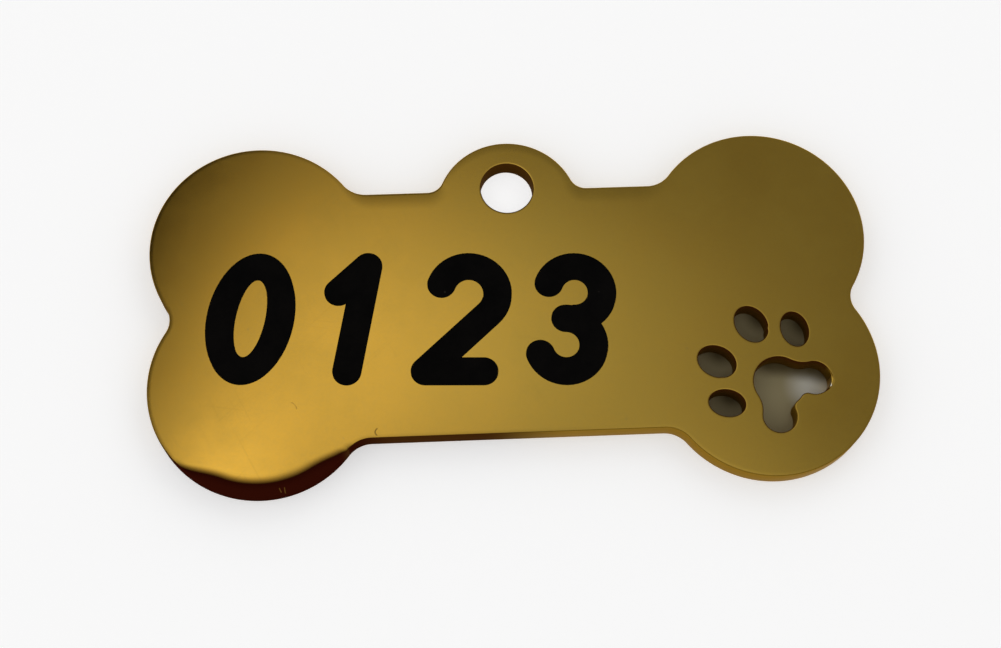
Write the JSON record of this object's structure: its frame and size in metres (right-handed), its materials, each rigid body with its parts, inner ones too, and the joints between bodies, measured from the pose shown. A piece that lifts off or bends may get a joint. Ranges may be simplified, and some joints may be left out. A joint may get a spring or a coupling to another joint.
{
  "type": "pet id tag",
  "caption": "Flat bone-shaped pet identity tag with a hanging lug and ring hole, a cut-out paw and a row of enamel-filled engraved numerals.",
  "frame": {"origin": "centre of the bone outline on the plain back face, where the tag lies flat", "axes": "+X along the bone towards the cut-out paw, +Y towards the ring hole, +Z out of the engraved face"},
  "size_m": [0.05, 0.025, 0.0016],
  "materials": {
    "gold_plate": "polished stainless steel with a gold-coloured coat",
    "black_enamel": "cured black enamel"
  },
  "bodies": {
    "root": {"tag_plate": "gold_plate", "numeral_zero_enamel": "black_enamel", "numeral_one_enamel": "black_enamel", "numeral_two_enamel": "black_enamel", "numeral_three_enamel": "black_enamel"}
  },
  "joints": []
}
